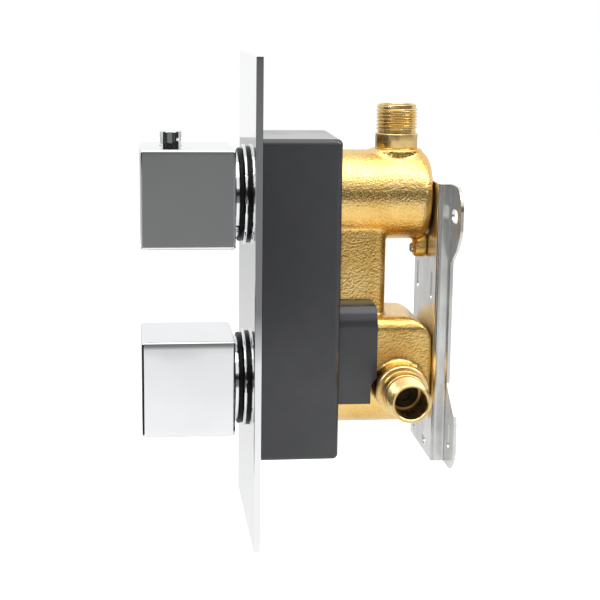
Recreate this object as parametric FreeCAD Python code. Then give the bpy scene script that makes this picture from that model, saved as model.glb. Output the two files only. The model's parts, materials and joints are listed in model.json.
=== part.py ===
import FreeCAD, Part
import math
import os

# Concealed thermostatic shower valve: two cube handles on sleeves, a face plate, a plaster guard box,
# a cast brass body with its two cartridges, threaded nipples, and a pressed wall bracket.
# Frame: X across, +Y into the wall, +Z up. The origin lies on the wall face, midway between the two
# upper fixing slots. A length called "out" is measured from the wall towards the user, so Y = -out.
# Sizes are millimetres.

# Layout
control_spacing = 96.8  # between the two handle axes
axis_above_slots = 6.6  # upper handle axis above the upper fixing slots
plate_drop = 3.2  # centre of plate and box below the middle of the two axes
port_out = 25.0  # inlet and outlet axes, out from the wall
body_reach = 48.8  # bracket face to the back of the guard box
running = 0.3  # gap between pieces that move past each other
past = 1.0  # how far a cutter reaches past the faces it cuts
seat_gap = 0.05  # radial gap of spindles in their bearings

# Wall bracket
sheet = 1.5
bracket_depth = 8.0
platform_width = 58.0
rim_width = 3.4
bend = 0.8
ear_reach = 51.5
bracket_above_axis = 8.3
bracket_below_axis = 39.2
upper_ear_drop = 7.4  # straight outer side of the upper ear ends this far below the slots
upper_ear_root = 25.0
lower_ear_top = 43.0  # above the bracket's lower edge
lower_ear_shoulder = 30.0
lower_ear_foot = 8.0
ear_overlap = 1.0  # ears start this far inside the rim
upper_ear_cut_x = 7.0  # the upper ear's lower outer corner is cut off by this much
upper_ear_cut_z = 9.0
lower_ear_step_x = 2.0  # slant above the lower ear's outer side
lower_ear_step_z = 4.0
lower_ear_cut = 8.0
ear_round = 11.0
ear_nose = 5.0
fixing_x = 38.0
fixing_length = 13.0
fixing_width = 6.7
lower_slot_x = 39.5
lower_slot_height = 16.3
lower_slot_length = 12.7
lower_slot_width = 4.5
guide_slot_x = 17.5
guide_slot_drop = 16.4  # below the lug's screw
guide_slot_length = 15.5
guide_slot_width = 4.4
drain_hole_radius = 2.2
drain_hole_x = -17.0
drain_slot_x = 10.0
drain_slot_length = 8.0
drain_height = 5.8

# Screws of the bracket
bracket_screw_radius = 2.5
bracket_screw_head_radius = 4.6
bracket_screw_head_height = 3.0
screw_hole_gap = 0.2
bracket_washer_radius = 6.0
bracket_washer_thickness = 1.0
screw_tip_show = 1.3
lower_screw_rise = 8.0  # above the lower axis
lower_screw_depth = 9.0

# Cast body
upper_barrel_radius = 23.2
lower_barrel_radius = 24.0
barrel_round = 7.0
barrel_setback = 8.3  # barrel fronts behind the front rim of the box
lower_body_rise = 35.8  # flat top above the lower axis
lower_top_round = 7.0
lower_rear_round = 15.0
lower_foot_round = 10.0
column_width = 34.0
column_depth = 25.6
column_round = 6.0
lug_radius = 5.0
lug_length = 7.2
lug_round = 2.0
lug_below_barrel = 5.0
merge = 2.0  # how far one lump of the casting runs into the next
outlet_boss_radius = 13.2
outlet_boss_rise = 23.9
inlet_boss_radius = 13.0
inlet_seat_x = 33.3
rear_wall = 5.0
mixing_radius = 12.0
passage_radius = 2.8
passage_x = 11.0
cold_passage_back = 4.6  # behind the column's front face
hot_passage_back = 11.6
inlet_passage_radius = 6.0
inlet_wall = 9.0  # brass between the two inlet passages
port_radius = 4.0
port_x = 7.5

# Threaded nipples
thread_radius = 10.4775
thread_pitch = 1.814
thread_crests = 8
thread_groove_mouth = 0.48  # width of a groove between two crests, at the outside
thread_groove_floor = 0.10
thread_groove_depth = 0.38
thread_lead = 0.35  # plain end past the last crest
neck_radius = 10.95
neck_length = 7.8
flange_radius = 13.4
flange_thickness = 3.6
nipple_bore = 8.15
nipple_tail_radius = 9.6
nipple_tail_length = 11.0
check_bore = 7.6
check_bore_length = 14.5
tail_lip = 1.5
tail_lip_radius = 6.2

# Guard box
box_width = 61.0
box_end_margin = 13.95  # box beyond the sleeves, above and below
box_depth = 39.7
box_wall = 2.5
box_round = 3.0
box_inner_round = 1.0
barrel_gap = 0.4
hood_half_width = 28.0
hood_length = 19.6
hood_wall = 2.5
hood_rise = 44.8  # hood top above the lower axis
hood_drop = 8.2  # hood lower edge below the lower axis
hood_round = 13.0  # shoulders, seen from behind
hood_end_round = 4.5  # rear edge, seen from the side
hood_notch = 3.0
hood_notch_rise = 5.2
guard_screw_radius = 2.0
guard_screw_head_radius = 4.0
guard_screw_head_height = 2.4
guard_screw_depth = 8.0
guard_screw_pitch = 20.0

# Face plate and gasket
gasket_thickness = 2.2
gasket_border = 6.0
gasket_inset = 1.0
plate_width = 104.0
plate_height = 245.8
plate_thickness = 3.5
plate_edge = 0.4

# Sleeves
sleeve_tail_radius = 20.0
sleeve_bore = 17.5
sleeve_neck_radius = 22.0
sleeve_mouth = 15.0
sleeve_front_wall = 2.0
sleeve_tail_end = 1.8  # clear of the barrel front
plate_hole_gap = 0.4
seal_thickness = 1.1
seal_radius = 24.8
ridge_width = 1.7
ridge_radius = 25.8
ring_width = 2.5
ring_radius = 24.0
ring_seat = 0.8

# Handles
handle_size = 50.0
handle_depth = 47.4
handle_gap = 7.2  # face plate to handle
handle_bevel = 1.4
cavity_radius = 19.0
handle_front_wall = 10.0
hub_radius = 8.5
hub_back = 9.0  # hub starts this far inside the handle's rear face
adapter_radius = 6.5
adapter_front_wall = 3.8
grub_radius = 2.5
grub_length = 8.0
grub_socket = 1.4
grub_back = 6.5  # behind the handle's front face
button_setback = 15.7
button_radius = 5.45
button_rise = 7.5
button_travel = 2.5
button_skirt = 0.8
button_roof = 2.0
button_wall = 1.5
button_stem_radius = 2.0
spring_wire = 0.6
button_turns = 5
clip_radius = 2.9
clip_thickness = 0.8

# Cartridges
bore_radius = 17.0
cartridge_gap = 0.3
cartridge_length = 40.0
flange_bore_radius = 18.6
flange_depth = 3.0
nut_grip = 7.0
nut_reach = 8.3
nut_collar_radius = 17.2
nut_sockets = 4
nut_socket_radius = 1.6
nut_socket_depth = 3.0
housing_neck_radius = 12.0
housing_neck_end = 1.6  # behind the sleeve's front face
bearing_radius = 5.5
bearing_length = 18.0
spindle_seal_depth = 1.0
spindle_seal_width = 2.0
spline_radius = 4.8
spline_teeth = 20
spline_depth = 0.5
spline_end_gap = 1.0
clip_reach = 1.7
clip_groove = 0.6
clip_opening = 3.0
spline_shoulder = 1.0
ring_section = 0.75
ring_offset = 4.9  # outer rings lie this far beyond the side openings
ring_groove_gap = 0.1
chamber_radius = 13.0
outlet_lip = 1.5
outlet_lip_radius = 8.0
strainer_half_width = 2.4
strainer_radius = 16.4
strainer_wall = 0.7
inlet_holes = 8
inlet_hole_radius = 2.0
strainer_holes = 18
strainer_hole_radius = 1.1
nut_flats = 14.0
guide_length = 20.0
collar_thickness = 2.5
collar_reach = 0.8
nut_room = 1.5  # the regulating nut may come this close to the spindle's collar
piston_show = 9.0
wax_flange_setback = 3.0
wax_flange_thickness = 1.5
wax_flange_radius = 6.9
piston_radius = 1.5
piston_gap = 0.6
overtravel_wire = 1.2
overtravel_turns = 4
wax_tail = 4.0
return_wire = 0.8
return_spring_radius = 9.4
return_turns = 3
stop_wall = 2.3
stop_front = 4.0  # past the button's axis
spindle_thread_radius = 3.6
regulating_nut_length = 7.5
wax_radius = 4.5
spool_length = 4.2
spool_web = 1.8
spool_wall = 2.0
spool_holes = 6
spool_hole_radius = 1.4
disc_thickness = 2.6
disc_seal_thickness = 2.0
driver_thickness = 10.2
driver_wall = 1.0
window_wall = 2.0
disc_key = 4.0

# Check valves
check_radius = 7.5
check_end_gap = 0.5
check_seat = 1.5
check_seat_radius = 4.2
check_inner = 5.6
check_guide = 1.5
guide_holes = 5
guide_hole_radius = 1.2
check_groove_depth = 0.9
check_ring_width = 1.9
poppet_radius = 5.0
poppet_thickness = 1.7
poppet_stem_radius = 1.5
poppet_stop_radius = 2.2
poppet_travel = 3.0
check_wire = 0.5
check_turns = 5
check_spring_radius = 3.2

# Stations worked out from the sizes above
upper_z = axis_above_slots
lower_z = upper_z - control_spacing
middle_z = (upper_z + lower_z) / 2
plate_z = middle_z - plate_drop
box_height = control_spacing + 2 * (sleeve_tail_radius + box_end_margin)
bracket_top = upper_z + bracket_above_axis
bracket_bottom = lower_z - bracket_below_axis
body_back = bracket_depth
box_back = body_back + body_reach
box_front = box_back + box_depth
plate_back = box_front + gasket_thickness
plate_front = plate_back + plate_thickness
barrel_front = box_front - barrel_setback
handle_back = plate_front + handle_gap
handle_front = handle_back + handle_depth
sleeve_front = handle_back - running - 0.1
column_back = box_back - column_depth
cold_out = box_back - cold_passage_back
hot_out = box_back - hot_passage_back
housing_seat = barrel_front - nut_grip - flange_depth
bore_floor = housing_seat - cartridge_length
nut_back = housing_seat + flange_depth
nut_front = barrel_front + nut_reach
neck_front = sleeve_front - housing_neck_end
cavity_floor = handle_front - handle_front_wall
hub_start = handle_back + hub_back
adapter_end = handle_front - adapter_front_wall
spline_end = adapter_end - spline_end_gap
button_out = handle_front - button_setback
pocket_depth = button_skirt + button_travel + running
lug_z = upper_z - upper_barrel_radius - lug_below_barrel
lower_screw_z = lower_z + lower_screw_rise

along_x = FreeCAD.Vector(1, 0, 0)
along_y = FreeCAD.Vector(0, 1, 0)
along_z = FreeCAD.Vector(0, 0, 1)


def rod(radius, start, end, x=0.0, z=0.0):
    """Cylinder standing out from the wall, between two out distances."""
    return Part.makeCylinder(radius, end - start, FreeCAD.Vector(x, -end, z), FreeCAD.Vector(0, 1, 0))


def tube(outer, inner, start, end, z):
    return rod(outer, start, end, 0, z).cut(rod(inner, start - past, end + past, 0, z))


def rod_z(radius, bottom, top, x, out):
    return Part.makeCylinder(radius, top - bottom, FreeCAD.Vector(x, -out, bottom))


def rod_x(radius, start, end, out, z):
    """Cylinder along X from the smaller to the larger x."""
    low = min(start, end)
    corner = FreeCAD.Vector(low, -out, z)
    return Part.makeCylinder(radius, abs(end - start), corner, FreeCAD.Vector(1, 0, 0))


def block(x_low, x_high, out_low, out_high, z_low, z_high):
    corner = FreeCAD.Vector(x_low, -out_high, z_low)
    return Part.makeBox(x_high - x_low, out_high - out_low, z_high - z_low, corner)


def extrusion(corners, travel):
    outline = Part.makePolygon(corners + [corners[0]])
    return Part.Face(outline).extrude(travel)


def front_outline(points, start, end):
    """Outline of (x, z) points, standing out from start to end."""
    corners = [FreeCAD.Vector(x, -start, z) for x, z in points]
    return extrusion(corners, FreeCAD.Vector(0, start - end, 0))


def side_outline(points, half_width):
    """Outline of (out, z) points, reaching half_width to each side."""
    corners = [FreeCAD.Vector(-half_width, -out, z) for out, z in points]
    return extrusion(corners, FreeCAD.Vector(2 * half_width, 0, 0))


def plan_outline(points, bottom, top):
    """Outline of (x, out) points, reaching from bottom to top."""
    corners = [FreeCAD.Vector(x, -out, bottom) for x, out in points]
    return extrusion(corners, FreeCAD.Vector(0, 0, top - bottom))


def turned(profile, z):
    """Solid of revolution about a handle axis, from (radius, out) points."""
    corners = [FreeCAD.Vector(radius, -out, z) for radius, out in profile]
    face = Part.Face(Part.makePolygon(corners + [corners[0]]))
    return face.revolve(FreeCAD.Vector(0, 0, z), FreeCAD.Vector(0, 1, 0), 360)


def ring(radius, section, out, z):
    centre = FreeCAD.Vector(0, -out, z)
    return Part.makeTorus(radius, section, centre, FreeCAD.Vector(0, 1, 0))


def slot(x, z, length, width, start, end, upright):
    """Cutter for a slotted hole."""
    reach = (length - width) / 2
    half = width / 2
    if upright:
        middle = block(x - half, x + half, start, end, z - reach, z + reach)
        ends = [(x, z - reach), (x, z + reach)]
    else:
        middle = block(x - reach, x + reach, start, end, z - half, z + half)
        ends = [(x - reach, z), (x + reach, z)]
    return middle.multiFuse([rod(half, start, end, px, pz) for px, pz in ends])


def straight_edges(shape, direction, wanted):
    """Straight edges along a direction whose middle point is wanted."""
    found = []
    for edge in shape.Edges:
        if len(edge.Vertexes) != 2:
            continue
        span = edge.Vertexes[1].Point - edge.Vertexes[0].Point
        if abs(span.Length - edge.Length) > 0.001:
            continue
        if span.cross(direction).Length < 0.001 * span.Length and wanted(edge.CenterOfMass):
            found.append(edge)
    return found


def rounded(shape, radius, direction, wanted):
    return shape.makeFillet(radius, straight_edges(shape, direction, wanted))


def near(value, target):
    return abs(value - target) < 0.01


def mirrored(shape):
    return shape.mirror(FreeCAD.Vector(0, 0, 0), FreeCAD.Vector(1, 0, 0))


def quarter_turn(radius, rise, step):
    """Two arcs, tangent to each other, that follow one quarter turn of a helix."""
    ends = []
    for count in (step, step + 1):
        angle = count * math.pi / 2
        point = FreeCAD.Vector(radius * math.cos(angle), radius * math.sin(angle), count * rise)
        way = FreeCAD.Vector(-radius * math.sin(angle), radius * math.cos(angle), rise / (math.pi / 2))
        ends.append((point, way.normalize()))
    (first, leaving), (last, arriving) = ends
    chord = last - first
    both = chord.dot(leaving + arriving)
    turn = 2 * (1 - leaving.dot(arriving))
    reach = (math.sqrt(both ** 2 + turn * chord.dot(chord)) - both) / turn
    joint = (first + last + (leaving - arriving) * reach) * 0.5
    arcs = []
    for begin, corner, finish in ((first, first + leaving * reach, joint), (joint, last - arriving * reach, last)):
        weight = (finish - begin).Length / (2 * reach)
        middle = (begin + finish + corner * (2 * weight)) * (1 / (2 + 2 * weight))
        arcs.append(Part.Arc(begin, middle, finish).toShape())
    return arcs


def coil(radius, wire, start, length, turns):
    """Spring along +Z from the point start; its outer length is length."""
    rise = (length - 2 * wire) / turns / 4
    arcs = []
    for step in range(4 * turns):
        arcs += quarter_turn(radius, rise, step)
    path = Part.Wire(arcs)
    first = arcs[0]
    way = first.tangentAt(first.FirstParameter)
    section = Part.Wire(Part.makeCircle(wire / 2, FreeCAD.Vector(radius, 0, 0), way))
    spring = path.makePipeShell([section], True, False)
    spring.translate(start + FreeCAD.Vector(0, 0, wire))
    return spring


def turned_to(shape, direction):
    """Turns a shape modelled along +Z about the origin, so that it points along direction."""
    spin = FreeCAD.Placement(FreeCAD.Vector(0, 0, 0), FreeCAD.Rotation(along_z, direction))
    moved = shape.copy()
    moved.Placement = spin.multiply(shape.Placement)
    return moved


# Wall bracket and its screws

def bracket_hat():
    half = platform_width / 2
    inner = half - sheet
    rim = half + rim_width
    back = bracket_depth - sheet
    right = [(rim, 0), (rim, sheet), (half, sheet), (half, bracket_depth)]
    left = [(-x, out) for x, out in reversed(right)]
    inside = [(-inner, 0), (-inner, back), (inner, back), (inner, 0)]
    hat = plan_outline(right + left + inside, bracket_bottom, bracket_top)
    outer_bends = [(half, bracket_depth), (inner, 0)]
    inner_bends = [(half, sheet), (inner, back)]
    for corners, radius in ((outer_bends, bend + sheet), (inner_bends, bend)):
        for x, out in corners:
            hat = rounded(hat, radius, along_z, lambda p: near(abs(p.x), x) and near(-p.y, out))
    return hat


def bracket_ears():
    root = platform_width / 2 + rim_width - ear_overlap
    cut_x = ear_reach - upper_ear_cut_x
    upper = [(root, bracket_top), (ear_reach, bracket_top), (ear_reach, -upper_ear_drop),
             (cut_x, -upper_ear_drop - upper_ear_cut_z), (root, -upper_ear_root)]
    base = bracket_bottom
    shoulder_x = ear_reach - lower_ear_step_x
    shoulder_z = base + lower_ear_shoulder
    foot_x = ear_reach - lower_ear_cut
    lower = [(root, base + lower_ear_top), (shoulder_x, shoulder_z), (ear_reach, shoulder_z - lower_ear_step_z),
             (ear_reach, base + lower_ear_foot), (foot_x, base), (root, base)]
    top_ear = front_outline(upper, 0, sheet)
    top_ear = rounded(top_ear, ear_round, along_y, lambda p: near(p.x, ear_reach) and near(p.z, bracket_top))
    top_ear = rounded(top_ear, ear_nose, along_y, lambda p: p.z < -upper_ear_drop + 0.1 and p.x > cut_x - 0.1)
    low_ear = front_outline(lower, 0, sheet)
    low_ear = rounded(low_ear, ear_nose / 2, along_y, lambda p: near(p.x, shoulder_x))
    foot_z = base + lower_ear_foot
    low_ear = rounded(low_ear, ear_nose, along_y, lambda p: near(p.x, foot_x) or near(p.z, foot_z))
    return [top_ear, low_ear]


def wall_bracket():
    ears = bracket_ears()
    plate = bracket_hat().multiFuse(ears + [mirrored(ear) for ear in ears]).removeSplitter()
    cutters = []
    top = sheet + past
    low = bracket_bottom + lower_slot_height
    for side in (-1, 1):
        cutters.append(slot(side * fixing_x, 0, fixing_length, fixing_width, -past, top, False))
        cutters.append(slot(side * lower_slot_x, low, lower_slot_length, lower_slot_width, -past, top, True))
    back = bracket_depth - sheet - past
    front = bracket_depth + past
    guide_z = lug_z - guide_slot_drop
    for x in (-guide_slot_x, guide_slot_x):
        cutters.append(slot(x, guide_z, guide_slot_length, guide_slot_width, back, front, True))
    for z in (lug_z, lower_screw_z):
        cutters.append(rod(bracket_screw_radius + screw_hole_gap, back, front, 0, z))
    drain_z = bracket_bottom + drain_height
    cutters.append(rod(drain_hole_radius, back, front, drain_hole_x, drain_z))
    width = 2 * drain_hole_radius
    cutters.append(slot(drain_slot_x, drain_z, drain_slot_length, width, back, front, False))
    return plate.cut(Part.makeCompound(cutters))


def bracket_screw(z, tip):
    head_front = bracket_depth - sheet - bracket_washer_thickness
    head_back = head_front - bracket_screw_head_height
    head = rod(bracket_screw_head_radius, head_back, head_front, 0, z)
    rim = [edge for edge in head.Edges if near(edge.CenterOfMass.y, -head_back)]
    head = head.makeFillet(bracket_screw_head_height / 3, rim)
    shank = rod(bracket_screw_radius, head_front - bracket_screw_head_height / 2, tip, 0, z)
    point = [edge for edge in shank.Edges if near(edge.CenterOfMass.y, -tip)]
    shank = shank.makeChamfer(bracket_screw_radius / 4, point)
    socket_half = bracket_screw_head_radius / 2
    bar = bracket_screw_radius / 4
    deep = head_back + bracket_screw_head_height / 2
    cross = block(-socket_half, socket_half, head_back - past, deep, z - bar, z + bar)
    cross = cross.fuse(block(-bar, bar, head_back - past, deep, z - socket_half, z + socket_half))
    return head.fuse(shank).cut(cross)


def bracket_screws():
    lug_tip = body_back + lug_length + screw_tip_show
    return [bracket_screw(lug_z, lug_tip), bracket_screw(lower_screw_z, body_back + lower_screw_depth)]


def bracket_washers():
    front = bracket_depth - sheet
    back = front - bracket_washer_thickness
    hole = bracket_screw_radius + screw_hole_gap / 2
    return [tube(bracket_washer_radius, hole, back, front, z) for z in (lug_z, lower_screw_z)]


# Cast body

def lower_block():
    """Lower barrel's square-shouldered rear half, rounded in all three views."""
    half = lower_barrel_radius
    top = lower_z + lower_body_rise
    bottom = lower_z - half
    front = front_outline([(-half, lower_z), (half, lower_z), (half, top), (-half, top)], body_back, box_back)
    front = rounded(front, lower_top_round, along_y, lambda p: near(p.z, top))
    front = front.fuse(rod(half, body_back, box_back, 0, lower_z))
    corners = [(body_back, bottom), (box_back, bottom), (box_back, top), (body_back, top)]
    side = side_outline(corners, half + past)
    side = rounded(side, lower_rear_round, along_x, lambda p: near(-p.y, body_back) and near(p.z, top))
    side = rounded(side, lower_foot_round, along_x, lambda p: near(-p.y, body_back) and near(p.z, bottom))
    return front.common(side).removeSplitter()


def upper_barrel():
    barrel = rod(upper_barrel_radius, body_back, barrel_front, 0, upper_z)
    rear = [edge for edge in barrel.Edges if near(edge.CenterOfMass.y, -body_back)]
    return barrel.makeFillet(barrel_round, rear)


def column():
    half = column_width / 2
    low = lower_z + lower_body_rise - lower_top_round
    high = upper_z - upper_barrel_radius + lower_top_round
    pillar = block(-half, half, column_back, box_back, low, high)
    return rounded(pillar, column_round, along_z, lambda p: near(-p.y, column_back))


def lug():
    front = body_back + lug_length
    nose = rod(lug_radius, body_back, front, 0, lug_z)
    nose = nose.makeFillet(lug_round, [edge for edge in nose.Edges if near(edge.CenterOfMass.y, -front)])
    front -= lug_round
    web = block(-lug_radius, lug_radius, body_back, front, lug_z, upper_z - upper_barrel_radius + merge)
    return nose.fuse(web)


def body_casting():
    boss_top = upper_z + outlet_boss_rise
    outlet_boss = rod_z(outlet_boss_radius, upper_z + upper_barrel_radius / 2, boss_top, 0, port_out)
    inner = lower_barrel_radius / 2 + merge
    bosses = []
    for side in (-1, 1):
        bosses.append(rod_x(inlet_boss_radius, side * inner, side * inlet_seat_x, port_out, lower_z))
    lower_barrel = rod(lower_barrel_radius, box_back - merge, barrel_front, 0, lower_z)
    solids = [lower_block(), lower_barrel, column(), lug(), outlet_boss] + bosses
    return upper_barrel().multiFuse(solids)


def body_bores():
    cutters = []
    for z in (upper_z, lower_z):
        cutters.append(rod(bore_radius, bore_floor, barrel_front + past, 0, z))
        cutters.append(rod(flange_bore_radius, housing_seat, barrel_front + past, 0, z))
    cutters.append(rod(mixing_radius, body_back + rear_wall, bore_floor + past, 0, upper_z))
    tail = nipple_tail_radius + seat_gap
    boss_top = upper_z + outlet_boss_rise
    cutters.append(rod_z(tail, boss_top - nipple_tail_length - running, boss_top + past, 0, port_out))
    cutters.append(rod_z(check_bore, upper_z, boss_top, 0, port_out))
    for side, out in ((1, cold_out), (-1, hot_out)):
        low = lower_z + bore_radius / 2
        cutters.append(rod_z(passage_radius, low, upper_z - bore_radius / 2, side * passage_x, out))
        tail_start = side * (inlet_seat_x - nipple_tail_length - running)
        cutters.append(rod_x(tail, tail_start, side * (inlet_seat_x + past), port_out, lower_z))
        cutters.append(rod_x(inlet_passage_radius, side * inlet_wall / 2, tail_start, port_out, lower_z))
        cutters.append(rod(port_radius, port_out, bore_floor + past, side * port_x, lower_z))
    cutters.append(rod(bracket_screw_radius, body_back - past, body_back + lug_length + past, 0, lug_z))
    cutters.append(rod(bracket_screw_radius, body_back - past, body_back + lower_screw_depth, 0, lower_screw_z))
    for z in guard_screw_heights():
        cutters.append(rod(guard_screw_radius, box_back - guard_screw_depth, box_back + past, 0, z))
    return cutters


def valve_body():
    return body_casting().cut(Part.makeCompound(body_bores())).removeSplitter()


# Threaded nipples, modelled along +Z from their seat

def thread_points(start):
    """Profile of the thread, from the neck to the mouth."""
    root = thread_radius - thread_groove_depth
    flank = (thread_groove_mouth - thread_groove_floor) / 2
    points = []
    for crest in range(thread_crests):
        low = start + crest * thread_pitch
        rise = low + thread_groove_floor
        points += [(root, low), (root, rise), (thread_radius, rise + flank)]
        points.append((thread_radius, low + thread_pitch - flank))
    end = start + thread_crests * thread_pitch
    return points + [(root, end), (root, end + thread_lead)]


def nipple(flange, bore_steps):
    """Nipple with a tail below its seat; bore_steps are (radius, height) from the tail end up."""
    neck_start = flange_thickness if flange else 0
    thread_start = neck_start + neck_length
    profile = [(0, -nipple_tail_length), (nipple_tail_radius, -nipple_tail_length), (nipple_tail_radius, 0)]
    if flange:
        profile += [(flange_radius, 0), (flange_radius, flange_thickness)]
    profile += [(neck_radius, neck_start), (neck_radius, thread_start)]
    profile += thread_points(thread_start)
    profile.append((0, profile[-1][1]))
    corners = [FreeCAD.Vector(radius, 0, height) for radius, height in profile]
    solid = Part.Face(Part.makePolygon(corners + [corners[0]])).revolve(FreeCAD.Vector(0, 0, 0), along_z, 360)
    for radius, low, high in bore_steps:
        solid = solid.cut(Part.makeCylinder(radius, high - low, FreeCAD.Vector(0, 0, low)))
    return solid


def outlet_nipple():
    mouth = neck_length + thread_crests * thread_pitch + past
    shape = nipple(False, [(check_bore, -nipple_tail_length - past, past), (nipple_bore, 0, mouth)])
    shape.translate(FreeCAD.Vector(0, -port_out, upper_z + outlet_boss_rise))
    return shape


def inlet_nipple(side):
    below = -nipple_tail_length
    check_low = below + tail_lip
    check_high = check_low + check_bore_length
    mouth = flange_thickness + neck_length + thread_crests * thread_pitch + past
    steps = [(tail_lip_radius, below - past, check_low + past), (check_bore, check_low, check_high)]
    shape = turned_to(nipple(True, steps + [(nipple_bore, check_high, mouth)]), FreeCAD.Vector(side, 0, 0))
    shape.translate(FreeCAD.Vector(side * inlet_seat_x, -port_out, lower_z))
    return shape


# Guard box, gasket and face plate

def guard_screw_heights():
    middle = (upper_z - upper_barrel_radius + lower_z + lower_body_rise) / 2
    return [middle - guard_screw_pitch / 2, middle + guard_screw_pitch / 2]


def rounded_panel(width, height, radius, start, end):
    half = width / 2
    low = plate_z - height / 2
    high = plate_z + height / 2
    panel = block(-half, half, start, end, low, high)
    return rounded(panel, radius, along_y, lambda p: True)


def hood():
    """Hood round the lower barrel, with a gap for the column."""
    base = lower_z - hood_drop
    top = lower_z + hood_rise
    rear = box_back - hood_length

    def arch(half, height, start, end):
        points = [(-half, base), (half, base), (half, height), (-half, height)]
        return rounded(front_outline(points, start, end), hood_round, along_y, lambda p: near(p.z, height))

    front = box_back + box_wall / 2
    shell = arch(hood_half_width, top, rear, front)
    inside_half = hood_half_width - hood_wall
    shell = shell.cut(arch(inside_half, top - hood_wall, rear - past, front + past))
    shell = shell.cut(block(-inside_half, inside_half, rear - past, front + past, base - past, base + past))
    step = lower_z + hood_notch_rise
    side = [(rear, top), (front, top), (front, base), (rear + hood_notch, base),
            (rear + hood_notch, step - hood_notch), (rear, step)]
    silhouette = side_outline(side, hood_half_width + past)
    silhouette = rounded(silhouette, hood_end_round, along_x, lambda p: near(-p.y, rear) and near(p.z, top))
    column_half = column_width / 2 + barrel_gap
    low = lower_z + lower_barrel_radius
    notch = block(-column_half, column_half, rear - past, front + past, low, top + past)
    return shell.common(silhouette).cut(notch)


def guard_box():
    outer = rounded_panel(box_width, box_height, box_round, box_back, box_front)
    rear_rim = [edge for edge in outer.Edges if near(edge.CenterOfMass.y, -box_back)]
    outer = outer.makeFillet(box_round * 0.9, rear_rim)
    inner = rounded_panel(box_width - 2 * box_wall, box_height - 2 * box_wall, box_inner_round,
                          box_back + box_wall, box_front + past)
    box = outer.cut(inner).multiFuse(hood().Solids)
    cutters = [rod(radius + barrel_gap, box_back - past, box_front, 0, z)
               for radius, z in ((upper_barrel_radius, upper_z), (lower_barrel_radius, lower_z))]
    for z in guard_screw_heights():
        cutters.append(rod(guard_screw_radius + screw_hole_gap, box_back - past, box_front, 0, z))
    return box.cut(Part.makeCompound(cutters)).removeSplitter()


def guard_screws():
    seat = box_back + box_wall
    screws = []
    for z in guard_screw_heights():
        head = rod(guard_screw_head_radius, seat, seat + guard_screw_head_height, 0, z)
        rim = [edge for edge in head.Edges if near(edge.CenterOfMass.y, -seat - guard_screw_head_height)]
        head = head.makeFillet(guard_screw_head_height / 2, rim)
        screws.append(head.fuse(rod(guard_screw_radius, box_back - guard_screw_depth, seat, 0, z)))
    return screws


def plate_gasket():
    width = box_width - 2 * gasket_inset
    height = box_height - 2 * gasket_inset
    outer = rounded_panel(width, height, box_round, box_front, plate_back)
    inner = rounded_panel(width - 2 * gasket_border, height - 2 * gasket_border, box_round,
                          box_front - past, plate_back + past)
    return outer.cut(inner)


def face_plate():
    half = plate_width / 2
    low = plate_z - plate_height / 2
    plate = block(-half, half, plate_back, plate_front, low, low + plate_height)
    rim = [edge for edge in plate.Edges if near(edge.CenterOfMass.y, -plate_front)]
    plate = plate.makeFillet(plate_edge, rim)
    hole = sleeve_tail_radius + plate_hole_gap
    for z in (upper_z, lower_z):
        plate = plate.cut(rod(hole, plate_back - past, plate_front + past, 0, z))
    return plate


# Sleeves with their rubber rings

def sleeve(z):
    tail = barrel_front + sleeve_tail_end
    ridge_back = plate_front + seal_thickness
    ridge_front = ridge_back + ridge_width
    groove_front = ridge_front + ring_width
    inside_front = sleeve_front - sleeve_front_wall
    groove = sleeve_neck_radius - ring_seat
    profile = [(sleeve_bore, tail), (sleeve_tail_radius, tail), (sleeve_tail_radius, plate_front),
               (sleeve_neck_radius, plate_front), (sleeve_neck_radius, ridge_back)]
    steps = 8
    for step in range(steps + 1):
        angle = math.pi * step / steps
        bulge = ridge_radius - ridge_width / 2 + ridge_width / 2 * math.sin(angle)
        profile.append((bulge, ridge_back + ridge_width / 2 * (1 - math.cos(angle))))
    profile += [(groove, ridge_front), (groove, groove_front), (sleeve_neck_radius, groove_front),
                (sleeve_neck_radius, sleeve_front), (sleeve_mouth, sleeve_front),
                (sleeve_mouth, inside_front), (sleeve_bore, inside_front)]
    return turned(profile, z)


def sleeve_rings():
    back = plate_front + seal_thickness + ridge_width
    groove = sleeve_neck_radius - ring_seat
    rings = []
    for z in (upper_z, lower_z):
        band = tube(ring_radius, groove, back, back + ring_width, z)
        outer = [edge for edge in band.Edges if edge.BoundBox.XMax > ring_radius - 0.01]
        rings.append(band.makeFillet(ring_width / 3, [edge for edge in outer if edge.Closed]))
    return rings


def sleeve_seals():
    front = plate_front + seal_thickness
    return [tube(seal_radius, sleeve_neck_radius, plate_front, front, z) for z in (upper_z, lower_z)]


# Handles and what turns with them

def handle(z):
    half = handle_size / 2
    cube = block(-half, half, handle_back, handle_front, z - half, z + half)
    cube = cube.makeFillet(handle_bevel, cube.Edges)
    cube = cube.cut(rod(cavity_radius, handle_back - past, cavity_floor, 0, z))
    cube = cube.fuse(rod(hub_radius, hub_start, cavity_floor + past, 0, z))
    cube = cube.cut(rod(adapter_radius, hub_start - past, adapter_end, 0, z))
    return cube.cut(rod_z(grub_radius, z - half - past, z - adapter_radius / 2, 0, handle_front - grub_back))


def button_pocket(z):
    top = z + handle_size / 2
    floor = top - pocket_depth
    pocket = rod_z(button_radius + running, floor, top + past, 0, button_out)
    hole = rod_z(button_stem_radius + running, z + hub_radius + past, floor + past, 0, button_out)
    return pocket.fuse(hole)


def temperature_handle():
    return handle(upper_z).cut(button_pocket(upper_z))


def flow_handle():
    return handle(lower_z)


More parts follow.
